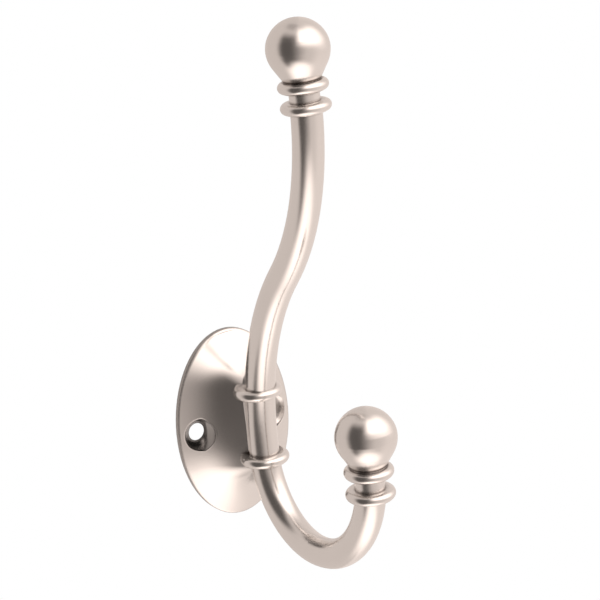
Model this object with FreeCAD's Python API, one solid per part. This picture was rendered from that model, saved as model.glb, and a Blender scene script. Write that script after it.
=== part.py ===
import FreeCAD, Part
import math
import os

# Double robe hook, one casting. Millimetres.
# Frame: the wall is the plane Y = 0, the hook reaches toward -Y, X is to the right, Z is up.
# The origin is the centre of the oval on the back of the plate.

# Oval plate and the flare that rises from it to the stem
plate_width = 34.85
plate_height = 52.9
rim_thickness = 1.5
rim_round = 0.25
flare_top_reach = 15.0
flare_top_width = 7.4
flare_top_height = 23.0
flare_top_lift = 3.0
flare_power = 3.9
flare_rim_slope = 0.32
flare_straightness = 0.5
flare_sections = 8

# Screw holes
hole_spacing = 22.6
hole_diameter = 4.75
seat_land = 0.1
seat_diameter = 9.4
seat_angle = 100.0
relief_radius = 5.5
relief_reach = 2.7
cutter_reach = 8.0
overcut = 1.0

# Stem: distance of its axis from the wall, and the height of each of its two beads
stem_reach = 15.5
stem_bead_radius = 6.6
upper_bead_height = 12.7
lower_bead_height = -6.45

# Upper arm: it leaves the stem straight up, swings out and back to upright. Angles in degrees.
upper_arm_foot = -1.1
outward_bend_radius = 74.4
outward_bend_angle = 42.5
upright_bend_radius = 72.55
upright_bend_angle = 42.2
upper_arm_radius = 4.06

# Lower arm: it leaves the stem straight down and curls out and up into a J, each bend a little
# wider than the one before
lower_arm_foot = -5.15
heel_bend_radius = 21.6
heel_bend_angle = 90.9
bowl_bend_radius = 27.25
bowl_bend_angle = 26.8
lip_bend_radius = 32.1
lip_bend_angle = 49.8
lower_arm_radius = 3.99

# Beads: the outside is half an ellipse
bead_half_height = 1.42
bead_depth = 1.55

# Finials
tip_bead_radius = 6.48
neck_radius = 3.9
collar_radius = 4.75
ball_cone_angle = 31.0
crown_corner_radius = 7.4
upper_bead_gap = 5.3
lower_bead_gap = 6.1
upper_ball_gap = 9.3
upper_ball_radius = 8.08
upper_ball_crown = 7.84
lower_ball_gap = 9.4
lower_ball_radius = 8.03
lower_ball_crown = 7.86
upper_tip_lean = -4.0
lower_tip_lean = 1.5


def at(reach, height):
    """A point in the middle plane of the hook."""
    return FreeCAD.Vector(0, -reach, height)


def ellipse_wire(half_x, half_z, reach, lift):
    """An ellipse in a plane parallel to the wall."""
    centre = FreeCAD.Vector(0, -reach, lift)
    end_z = centre + FreeCAD.Vector(0, 0, half_z)
    end_x = centre + FreeCAD.Vector(half_x, 0, 0)
    return Part.Wire(Part.Ellipse(end_z, end_x, centre).toShape())


def make_plate():
    """The oval with its thin rim, and the flare that sweeps up to the stem.

    The flare curves in from the sides and runs straighter above and below the stem.
    """
    half_x = plate_width / 2
    half_z = plate_height / 2
    back = ellipse_wire(half_x, half_z, 0, 0)
    shoulder = ellipse_wire(half_x, half_z, rim_thickness - rim_round, 0)
    sections = []
    for i in range(flare_sections):
        f = i / (flare_sections - 1)
        rise = flare_rim_slope * f + (1 - flare_rim_slope) * f ** flare_power
        g = flare_straightness * rise + (1 - flare_straightness) * f
        width = (half_x - rim_round) * (1 - f) + flare_top_width / 2 * f
        height = (half_z - rim_round) * (1 - g) + flare_top_height / 2 * g
        reach = rim_thickness + (flare_top_reach - rim_thickness) * rise
        sections.append(ellipse_wire(width, height, reach, flare_top_lift * g))
    faces = [Part.Face(back), Part.Face(sections[-1])]
    faces += Part.makeLoft([back, shoulder], False, True).Faces
    faces += Part.makeLoft([shoulder, sections[0]], False, True).Faces
    faces += Part.makeLoft(sections, False, False).Faces
    shell = Part.makeShell(faces)
    shell.sewShape()
    return Part.makeSolid(shell)


def make_hole_cutter(side):
    """The screw hole, its conical seat and the relief above it, for one side of the plate."""
    r_hole = hole_diameter / 2
    r_seat = seat_diameter / 2
    seat_depth = (r_seat - r_hole) / math.tan(math.radians(seat_angle / 2))
    profile = Part.makePolygon([
        FreeCAD.Vector(0, -seat_land, 0),
        FreeCAD.Vector(r_hole, -seat_land, 0),
        FreeCAD.Vector(r_seat, -seat_land - seat_depth, 0),
        FreeCAD.Vector(r_seat, -cutter_reach, 0),
        FreeCAD.Vector(0, -cutter_reach, 0),
        FreeCAD.Vector(0, -seat_land, 0),
    ])
    seat = Part.Face(profile).revolve(FreeCAD.Vector(0, 0, 0), FreeCAD.Vector(0, 1, 0), 360)
    start = FreeCAD.Vector(0, overcut, 0)
    outward = start + FreeCAD.Vector(relief_radius - relief_reach, 0, 0)
    depth = cutter_reach + 2 * overcut
    relief = Part.makeCylinder(relief_radius, depth, outward, FreeCAD.Vector(0, -1, 0))
    bore = Part.makeCylinder(r_hole, cutter_reach, start, FreeCAD.Vector(0, -1, 0))
    cutter = seat.common(relief).fuse(bore)
    if side < 0:
        cutter = cutter.mirror(FreeCAD.Vector(0, 0, 0), FreeCAD.Vector(1, 0, 0))
    cutter.translate(FreeCAD.Vector(side * hole_spacing / 2, 0, 0))
    return cutter


def bend(centre, heading, radius, turn, arm_radius):
    """One bend of an arm: its surface, the centre of its far end and the heading there.

    The heading is the angle from straight up towards straight out, in degrees.
    """
    a = math.radians(heading)
    across = at(math.cos(a), -math.sin(a))
    pivot = centre + across * math.copysign(radius, turn)
    side = FreeCAD.Vector(arm_radius, 0, 0)
    ring = Part.Circle(centre + side, centre + across * arm_radius, centre - side)
    axis = FreeCAD.Vector(1, 0, 0)
    surface = ring.toShape().revolve(pivot, axis, turn)
    end = pivot + FreeCAD.Rotation(axis, turn).multVec(centre - pivot)
    return surface, end, heading + turn


def disc(centre, heading, radius):
    """The flat end of a round arm."""
    a = math.radians(heading)
    across = at(math.cos(a), -math.sin(a)) * radius
    side = FreeCAD.Vector(radius, 0, 0)
    return Part.Face(Part.Wire(Part.Circle(centre + side, centre + across, centre - side).toShape()))


def make_arm(foot, heading, radius, bends):
    """An arm of tangent bends, each (radius, turn), and the centre of its tip."""
    faces = [disc(foot, heading, radius)]
    centre = foot
    for bend_radius, turn in bends:
        surface, centre, heading = bend(centre, heading, bend_radius, turn, radius)
        faces.append(surface)
    faces.append(disc(centre, heading, radius))
    shell = Part.makeShell(faces)
    shell.sewShape()
    return Part.makeSolid(shell), centre


def make_stem():
    """The straight stem from the foot of the upper arm down to the lower bead."""
    low = at(stem_reach, lower_bead_height)
    return Part.makeCylinder(upper_arm_radius, upper_arm_foot - lower_bead_height, low)


def point(radius, height):
    """A point of a turned outline, in the Y-Z plane."""
    return FreeCAD.Vector(0, radius, height)


def bead_outline(radius, height):
    """The rounded outside of a bead, from its lower side to its upper side."""
    centre = point(radius - bead_depth, height)
    nose = centre + point(bead_depth, 0)
    top = centre + point(0, bead_half_height)
    ellipse = Part.Ellipse(nose, top, centre)
    quarter = math.pi / 2
    return Part.ArcOfEllipse(ellipse, -quarter, quarter)


def turned(edges):
    """The solid turned from an outline in the Y-Z plane around the Z axis."""
    outline = Part.Wire([e.toShape() for e in edges])
    return Part.Face(outline).revolve(FreeCAD.Vector(0, 0, 0), FreeCAD.Vector(0, 0, 1), 360)


def make_stem_bead(height):
    """A bead around the stem."""
    edge = bead_outline(stem_bead_radius, 0)
    low = point(0, -bead_half_height)
    high = point(0, bead_half_height)
    bead = turned([
        Part.LineSegment(low, edge.StartPoint),
        edge,
        Part.LineSegment(edge.EndPoint, high),
        Part.LineSegment(high, low),
    ])
    bead.translate(at(stem_reach, height))
    return bead


def ball_outline(height, radius, crown):
    """The ball's outline from the collar up to its crown, and the height where it starts.

    The under side is round down to a tangent cone. The crown is a flatter cap with its own
    corner round.
    """
    a = math.radians(ball_cone_angle)
    edge = point(radius * math.cos(a), height - radius * math.sin(a))
    run = (edge.y - collar_radius) / math.sin(a)
    joint = point(collar_radius, edge.z - run * math.cos(a))
    half = point(radius * math.cos(a / 2), height - radius * math.sin(a / 2))
    equator = point(radius, height)
    corner = radius - crown_corner_radius
    cap = (radius ** 2 - 2 * radius * (radius - corner) + crown ** 2) / (2 * (crown - radius + corner))
    bend = math.atan2(cap - crown, corner)
    hub = point(corner, height)
    corner_end = hub + point(math.cos(bend), math.sin(bend)) * (radius - corner)
    corner_mid = hub + point(math.cos(bend / 2), math.sin(bend / 2)) * (radius - corner)
    lean = (bend + math.pi / 2) / 2
    cap_mid = point(cap * math.cos(lean), height + crown - cap + cap * math.sin(lean))
    return joint, [
        Part.LineSegment(joint, edge),
        Part.Arc(edge, half, equator),
        Part.Arc(equator, corner_mid, corner_end),
        Part.Arc(corner_end, cap_mid, point(0, height + crown)),
    ]


def make_finial(foot, lean, bead_gap, ball_gap, radius, crown):
    """Two beads with a neck between them, a short collar and the ball, turned in one piece."""
    low = bead_outline(tip_bead_radius, 0)
    high = bead_outline(tip_bead_radius, bead_gap)
    start = point(0, -bead_half_height)
    neck_foot = point(neck_radius, bead_half_height)
    neck_top = point(neck_radius, bead_gap - bead_half_height)
    collar = point(collar_radius, bead_gap + bead_half_height)
    joint, ball = ball_outline(bead_gap + ball_gap, radius, crown)
    finial = turned([
        Part.LineSegment(start, low.StartPoint),
        low,
        Part.LineSegment(low.EndPoint, neck_foot),
        Part.LineSegment(neck_foot, neck_top),
        Part.LineSegment(neck_top, high.StartPoint),
        high,
        Part.LineSegment(high.EndPoint, collar),
        Part.LineSegment(collar, joint),
        *ball,
        Part.LineSegment(ball[-1].EndPoint, start),
    ])
    turn = FreeCAD.Rotation(FreeCAD.Vector(1, 0, 0), lean)
    finial.Placement = FreeCAD.Placement(foot, turn)
    return finial


def make_hook():
    """The whole casting."""
    plate = make_plate().cut(make_hole_cutter(-1)).cut(make_hole_cutter(1))
    upper_arm, upper_tip = make_arm(at(stem_reach, upper_arm_foot), 0, upper_arm_radius, [
        (outward_bend_radius, outward_bend_angle),
        (upright_bend_radius, -upright_bend_angle),
    ])
    lower_arm, lower_tip = make_arm(at(stem_reach, lower_arm_foot), 180, lower_arm_radius, [
        (heel_bend_radius, -heel_bend_angle),
        (bowl_bend_radius, -bowl_bend_angle),
        (lip_bend_radius, -lip_bend_angle),
    ])
    hook = upper_arm.fuse(make_stem()).fuse(lower_arm).fuse(plate)
    hook = hook.fuse(make_stem_bead(lower_bead_height)).fuse(make_stem_bead(upper_bead_height))
    upper = make_finial(upper_tip, upper_tip_lean, upper_bead_gap, upper_ball_gap,
                        upper_ball_radius, upper_ball_crown)
    lower = make_finial(lower_tip, lower_tip_lean, lower_bead_gap, lower_ball_gap,
                        lower_ball_radius, lower_ball_crown)
    return hook.fuse(upper).fuse(lower)


os.makedirs("parts", exist_ok=True)
hook = make_hook()
hook.exportStep("parts/robe_hook.step")
print("solids", len(hook.Solids), "valid", hook.isValid(), "volume", round(hook.Volume, 1))
print("bounds", hook.BoundBox)
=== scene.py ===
import math

import bpy
from mathutils import Matrix, Vector

# Looks of the double robe hook: satin nickel on a pale floor in soft studio light. Metres.

# Camera: where it stands round the hook, and the point it looks at
camera_azimuth = -31.5
camera_elevation = 18.9
camera_roll = 6.0
camera_distance = 0.788
camera_target = Vector((0.0, -0.042, 0.04417))
camera_lens = 185.34
sensor_width = 36.0
picture_width = 600
half_pixel = 0.5 / picture_width
nearest_seen = 0.01
furthest_seen = 20

# Floor
floor_depth = 0.40
floor_size = 6.0

millimetre = 0.001

# Satin nickel. Crevices get a painted shade, full below the first share of open air and none above
# the second, and the pockets' and the rim wall's painted shades are shares of the metal's own
# brightness.
nickel_colour = (0.80, 0.775, 0.755)
crevice_shade_colour = (0.14, 0.11, 0.095)
crevice_width = 0.0012
flare_crevice_width = 0.0035
crevice_openness = (0.35, 0.85)
crevice_samples = 8
left_pocket_painted_shade = 0.42
right_pocket_painted_shade = 0.85
rim_wall_painted_shade = 0.5
nickel_roughness = 0.215
roughness_spread = 0.06
edge_round = 0.0003
rim_round = 0.0011
edge_samples = 6
grain_size = 0.0006
grain_depth = 0.000012
grain_detail = 3.0
grain_strength = 0.35
cloud_scale = 60.0
cloud_depth = 0.03

# Full cone of the flare, in millimetres: it rises from an oval to an upright core. Only its slope
# is used, to shade the flare out to the rim, up to the stem and round the screw holes' pockets.
oval_half_width = 22.0
oval_half_height = 25.7
core_half_height = 10.4
core_height = 0.85
core_half_width = 0.57
cone_reach = 17.75
cone_rim_slope = 0.55
cone_power = 3.7
least_distance = 0.001
slope_step = 0.05

# Where the flare lies on the plate, and the stem, beads and pockets that bound it, in millimetres.
# The edge is in shares of the rim's oval: no shading at the first, full shading at the second.
# Nearer the wall than back_layer is the plate's back. The pockets' walls count as part of them.
rim_half_width = 17.3
rim_half_height = 26.3
flare_edge = (0.995, 0.97)
rim_wall_fade = (1.15, 1.5)
rim_reach = 1.7
flare_foot = 1.0
back_layer = 0.02
stem_reach = 15.5
stem_radius = 4.15
bead_middle = 3.125
bead_distance = 9.575
bead_foot_radius = 5.05
bead_half_height = 1.46
bead_depth = 1.6
hole_distance = 11.3
seat_radius = 4.7
relief_radius = 5.5
pocket_lip = 0.3
pocket_wall = 0.02
relief_distance = 14.1

# Light of the studio as the hook sees it: what stands round it, in degrees to the right of the
# camera's direction and above it. Each edge is (where it starts, where it is full), an edge of
# None never comes, and the last number is the brightness. Later ones cover earlier ones.
room_light = 0.675
room_tint = (1.044, 0.925, 0.86)
surroundings = [
    # pale wall on the right
    ((42, 97), None, (-57, -48), (170, -110), 0.90),
    # dark gap left of the camera
    ((-84, -57), (42, -29), (-76, -57), (59, 28), 0.105),
    # window on the right
    ((-16, 18), (138, 60), (-5, 32), (84, 50), 2.0),
    # dark gap overhead
    ((-150, -110), (0, -50), (56, 72), None, 0.45),
    # white table on the right
    ((-79, 13), (250, 103), None, (-43, -64), 1.46),
    # white table below
    (None, None, None, (-54, -88), 1.7),
]


def camera_axes():
    """The camera's right, up and backward directions."""
    a = math.radians(camera_azimuth)
    e = math.radians(camera_elevation)
    roll = math.radians(camera_roll)
    back = Vector((math.sin(a) * math.cos(e), -math.cos(a) * math.cos(e), math.sin(e)))
    level = Vector((math.cos(a), math.sin(a), 0))
    upright = back.cross(level)
    right = level * math.cos(roll) - upright * math.sin(roll)
    up = level * math.sin(roll) + upright * math.cos(roll)
    return right, up, back


def make_camera():
    data = bpy.data.cameras.new("camera")
    data.lens = camera_lens
    data.sensor_width = sensor_width
    data.shift_x = -half_pixel
    data.shift_y = half_pixel
    data.clip_start = nearest_seen
    data.clip_end = furthest_seen
    camera = bpy.data.objects.new("camera", data)
    bpy.context.collection.objects.link(camera)
    right, up, back = camera_axes()
    turn = Matrix((right, up, back)).transposed().to_4x4()
    camera.matrix_world = Matrix.Translation(camera_target + back * camera_distance) @ turn
    bpy.context.scene.camera = camera


class Graph:
    """Short calls for adding nodes to a node tree."""

    def __init__(self, tree):
        self.tree = tree
        tree.nodes.clear()

    def node(self, kind, **settings):
        made = self.tree.nodes.new(kind)
        for name, value in settings.items():
            setattr(made, name, value)
        return made

    def link(self, source, target):
        self.tree.links.new(source, target)

    def feed(self, socket, value):
        if isinstance(value, bpy.types.NodeSocket):
            self.link(value, socket)
        else:
            socket.default_value = value

    def math(self, operation, *values):
        made = self.node("ShaderNodeMath", operation=operation)
        for socket, value in zip(made.inputs, values):
            self.feed(socket, value)
        return made.outputs[0]

    def length(self, x, y):
        """The length of the vector (x, y)."""
        return self.math("SQRT", self.math("MULTIPLY_ADD", x, x, self.math("MULTIPLY", y, y)))

    def smooth(self, value, low, high):
        """0 below low, 1 above high, smooth between them. High may be the lower one."""
        made = self.node("ShaderNodeMapRange", interpolation_type="SMOOTHSTEP")
        flip = low > high
        self.feed(made.inputs["Value"], value)
        made.inputs["From Min"].default_value = min(low, high)
        made.inputs["From Max"].default_value = max(low, high)
        made.inputs["To Min"].default_value = 1.0 if flip else 0.0
        made.inputs["To Max"].default_value = 0.0 if flip else 1.0
        return made.outputs[0]

    def blend(self, factor, a, b):
        """a where factor is 0, b where it is 1."""
        made = self.node("ShaderNodeMix", data_type="FLOAT")
        self.feed(made.inputs[0], factor)
        self.feed(made.inputs[2], a)
        self.feed(made.inputs[3], b)
        return made.outputs[0]

    def by_camera(self, unseen, seen):
        """One shader for what the hook reflects, another for what the camera sees directly."""
        ray = self.node("ShaderNodeLightPath")
        made = self.node("ShaderNodeMixShader")
        self.link(ray.outputs["Is Camera Ray"], made.inputs[0])
        self.link(unseen, made.inputs[1])
        self.link(seen, made.inputs[2])
        return made.outputs[0]


def cone_height(g, x, z):
    """Height of the flare's cone over a point of the plate, in millimetres."""
    oval = g.length(g.math("DIVIDE", x, oval_half_width), g.math("DIVIDE", z, oval_half_height))
    steepness = g.length(g.math("DIVIDE", x, oval_half_width ** 2),
                         g.math("DIVIDE", z, oval_half_height ** 2))
    inset = g.math("MULTIPLY", oval, g.math("MAXIMUM", g.math("SUBTRACT", 1.0, oval), 0.0))
    from_rim = g.math("DIVIDE", inset, steepness)
    above = g.math("ABSOLUTE", g.math("SUBTRACT", z, core_height))
    past = g.math("MAXIMUM", g.math("SUBTRACT", above, core_half_height), 0.0)
    beside_core = g.math("SUBTRACT", g.length(x, past), core_half_width)
    from_core = g.math("MAXIMUM", beside_core, least_distance)
    f = g.math("DIVIDE", from_rim, g.math("ADD", from_rim, from_core))
    curve = g.math("MULTIPLY", g.math("POWER", f, cone_power), cone_reach * (1 - cone_rim_slope))
    return g.math("MULTIPLY_ADD", f, cone_reach * cone_rim_slope, curve)


def cone_normal(g, x, z):
    """The cone's outward normal over a point of the plate."""
    here = cone_height(g, x, z)
    beside = cone_height(g, g.math("ADD", x, slope_step), z)
    above = cone_height(g, x, g.math("ADD", z, slope_step))
    slopes = g.node("ShaderNodeCombineXYZ")
    g.link(g.math("SUBTRACT", here, beside), slopes.inputs[0])
    slopes.inputs[1].default_value = -slope_step
    g.link(g.math("SUBTRACT", here, above), slopes.inputs[2])
    turned = g.node("ShaderNodeVectorTransform", vector_type="NORMAL",
                    convert_from="OBJECT", convert_to="WORLD")
    g.link(slopes.outputs[0], turned.inputs[0])
    return turned.outputs[0]


def outside_pockets(g, x, z, margin):
    """1 over the plate, 0 over the pockets of its screw holes and the margin round them."""
    side = g.math("ABSOLUTE", x)
    from_hole = g.length(g.math("SUBTRACT", side, hole_distance), z)
    from_relief = g.length(g.math("SUBTRACT", side, relief_distance), z)
    return g.math("MAXIMUM", g.math("GREATER_THAN", from_hole, seat_radius + margin),
                  g.math("GREATER_THAN", from_relief, relief_radius + margin))


def flare_area(g, x, reach, z):
    """1 on the plate's flare, 0 on its rim and back, in its holes' pockets and on the arms."""
    oval = g.length(g.math("DIVIDE", x, rim_half_width), g.math("DIVIDE", z, rim_half_height))
    from_stem = g.length(x, g.math("SUBTRACT", reach, stem_reach))
    beside_stem = g.math("GREATER_THAN", from_stem, stem_radius)
    before_arms = g.math("LESS_THAN", reach, stem_reach)
    off_back = g.math("GREATER_THAN", reach, flare_foot)
    from_middle = g.math("ABSOLUTE", g.math("SUBTRACT", z, bead_middle))
    up = g.math("DIVIDE", g.math("SUBTRACT", from_middle, bead_distance), bead_half_height)
    past_foot = g.math("MAXIMUM", g.math("SUBTRACT", from_stem, bead_foot_radius), 0.0)
    off_bead = g.math("GREATER_THAN", g.length(up, g.math("DIVIDE", past_foot, bead_depth)), 1.0)
    area = g.smooth(oval, *flare_edge)
    clear = outside_pockets(g, x, z, pocket_lip)
    for test in (clear, beside_stem, before_arms, off_back, off_bead):
        area = g.math("MULTIPLY", area, test)
    return area


def make_nickel(material):
    """Satin nickel: a warm grey metal with a fine even grain; painted shade darkens crevices,
    pockets, rim wall.
    """
    material.use_nodes = True
    g = Graph(material.node_tree)
    out = g.node("ShaderNodeOutputMaterial")
    metal = g.node("ShaderNodeBsdfPrincipled")
    g.link(metal.outputs[0], out.inputs["Surface"])
    metal.inputs["Metallic"].default_value = 1.0
    place = g.node("ShaderNodeTexCoord").outputs["Object"]
    millimetres = g.node("ShaderNodeVectorMath", operation="SCALE")
    g.link(place, millimetres.inputs[0])
    millimetres.inputs["Scale"].default_value = 1 / millimetre
    split = g.node("ShaderNodeSeparateXYZ")
    g.link(millimetres.outputs[0], split.inputs[0])
    x, y, z = split.outputs
    reach = g.math("MULTIPLY", y, -1.0)
    grain = g.node("ShaderNodeTexNoise")
    g.link(place, grain.inputs["Vector"])
    grain.inputs["Scale"].default_value = 1 / grain_size
    grain.inputs["Detail"].default_value = grain_detail
    cloud = g.node("ShaderNodeTexNoise")
    g.link(place, cloud.inputs["Vector"])
    cloud.inputs["Scale"].default_value = cloud_scale
    shade = g.node("ShaderNodeMix", data_type="RGBA")
    g.link(cloud.outputs["Fac"], shade.inputs[0])
    dull = [c * (1 - cloud_depth) for c in nickel_colour]
    bright = [c * (1 + cloud_depth) for c in nickel_colour]
    shade.inputs[6].default_value = (*dull, 1)
    shade.inputs[7].default_value = (*bright, 1)
    # Painted shade in crevices: where ambient occlusion finds little open air, the base colour
    # goes dark, over a wider distance on the flare next to the stem and beads.
    open_air = g.node("ShaderNodeAmbientOcclusion", samples=crevice_samples)
    on_flare = flare_area(g, x, reach, z)
    g.link(g.blend(on_flare, crevice_width, flare_crevice_width), open_air.inputs["Distance"])
    painted_crevice_shade = g.node("ShaderNodeMix", data_type="RGBA")
    g.link(g.smooth(open_air.outputs["AO"], *crevice_openness), painted_crevice_shade.inputs[0])
    painted_crevice_shade.inputs[6].default_value = (*crevice_shade_colour, 1)
    open_metal = g.node("ShaderNodeVectorMath", operation="SCALE")
    g.link(shade.outputs[2], open_metal.inputs[0])
    # Painted shade in the screw holes' pockets: their base colour is darkened, more in the left
    # pocket than in the right.
    right = g.math("GREATER_THAN", x, 0.0)
    painted_pocket_shade = g.blend(right, left_pocket_painted_shade, right_pocket_painted_shade)
    painted_shade_of_pockets = g.blend(outside_pockets(g, x, z, pocket_wall), painted_pocket_shade, 1.0)
    # Painted shade on the plate's rim wall: its base colour is darkened there, fading out towards
    # the front of the flare.
    painted_shade_of_rim = g.blend(g.smooth(reach, *rim_wall_fade), rim_wall_painted_shade, 1.0)
    painted_shade_of_front = g.math("MULTIPLY", painted_shade_of_pockets, painted_shade_of_rim)
    off_back = g.math("GREATER_THAN", reach, back_layer)
    g.link(g.blend(off_back, 1.0, painted_shade_of_front), open_metal.inputs["Scale"])
    g.link(open_metal.outputs[0], painted_crevice_shade.inputs[7])
    g.link(painted_crevice_shade.outputs[2], metal.inputs["Base Color"])
    smoothest = nickel_roughness - roughness_spread / 2
    roughness = g.math("MULTIPLY_ADD", grain.outputs["Fac"], roughness_spread, smoothest)
    g.link(roughness, metal.inputs["Roughness"])
    edge = g.node("ShaderNodeBevel", samples=edge_samples)
    at_rim = g.math("LESS_THAN", reach, rim_reach)
    g.link(g.blend(at_rim, edge_round, rim_round), edge.inputs["Radius"])
    bump = g.node("ShaderNodeBump")
    flare = g.node("ShaderNodeMix", data_type="VECTOR")
    g.link(on_flare, flare.inputs[0])
    g.link(edge.outputs[0], flare.inputs[4])
    g.link(cone_normal(g, x, z), flare.inputs[5])
    g.link(flare.outputs[1], bump.inputs["Normal"])
    bump.inputs["Strength"].default_value = grain_strength
    bump.inputs["Distance"].default_value = grain_depth
    g.link(grain.outputs["Fac"], bump.inputs["Height"])
    g.link(bump.outputs[0], metal.inputs["Normal"])


def make_floor():
    """A large white floor far below the hook."""
    h = floor_size / 2
    mesh = bpy.data.meshes.new("floor")
    z = -floor_depth
    mesh.from_pydata([(-h, -h, z), (h, -h, z), (h, h, z), (-h, h, z)], [], [(0, 1, 2, 3)])
    floor = bpy.data.objects.new("floor", mesh)
    bpy.context.collection.objects.link(floor)
    material = bpy.data.materials.new("pale_floor")
    material.use_nodes = True
    g = Graph(material.node_tree)
    out = g.node("ShaderNodeOutputMaterial")
    clear = g.node("ShaderNodeBsdfTransparent")
    pale = g.node("ShaderNodeEmission")
    g.link(g.by_camera(clear.outputs[0], pale.outputs[0]), out.inputs["Surface"])
    mesh.materials.append(material)
    return floor


def make_studio():
    """The world: an even room with dark gaps and a large window, plain white to the camera."""
    world = bpy.data.worlds.new("studio")
    bpy.context.scene.world = world
    world.use_nodes = True
    g = Graph(world.node_tree)
    out = g.node("ShaderNodeOutputWorld")
    direction = g.node("ShaderNodeTexCoord").outputs["Generated"]
    parts = []
    for axis in camera_axes():
        dot = g.node("ShaderNodeVectorMath", operation="DOT_PRODUCT")
        g.link(direction, dot.inputs[0])
        dot.inputs[1].default_value = axis
        parts.append(dot.outputs["Value"])
    degree = math.degrees(1)
    side = g.math("MULTIPLY", g.math("ARCTAN2", parts[0], parts[2]), degree)
    rise = g.math("MULTIPLY", g.math("ARCSINE", parts[1]), degree)
    light = room_light
    for left, right, low, high, level in surroundings:
        inside = 1.0
        for angle, edge in ((side, left), (side, right), (rise, low), (rise, high)):
            if edge:
                inside = g.math("MULTIPLY", inside, g.smooth(angle, *edge))
        light = g.blend(inside, light, level)
    room = g.node("ShaderNodeBackground")
    room.inputs["Color"].default_value = (*room_tint, 1)
    g.link(light, room.inputs["Strength"])
    backdrop = g.node("ShaderNodeBackground")
    backdrop.inputs["Color"].default_value = (1, 1, 1, 1)
    g.link(g.by_camera(room.outputs[0], backdrop.outputs[0]), out.inputs["Surface"])


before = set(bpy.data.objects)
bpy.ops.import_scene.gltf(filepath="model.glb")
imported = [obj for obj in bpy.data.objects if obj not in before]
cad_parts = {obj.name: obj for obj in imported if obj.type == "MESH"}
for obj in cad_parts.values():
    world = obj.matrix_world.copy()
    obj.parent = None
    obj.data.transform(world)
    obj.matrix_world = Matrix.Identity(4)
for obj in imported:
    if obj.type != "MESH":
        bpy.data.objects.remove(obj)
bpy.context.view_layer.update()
bpy.context.scene.view_settings.view_transform = "Standard"
make_camera()
make_studio()
make_floor()
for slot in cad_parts["robe_hook"].material_slots:
    nickel = bpy.data.materials.new("satin_nickel")
    make_nickel(nickel)
    slot.material = nickel
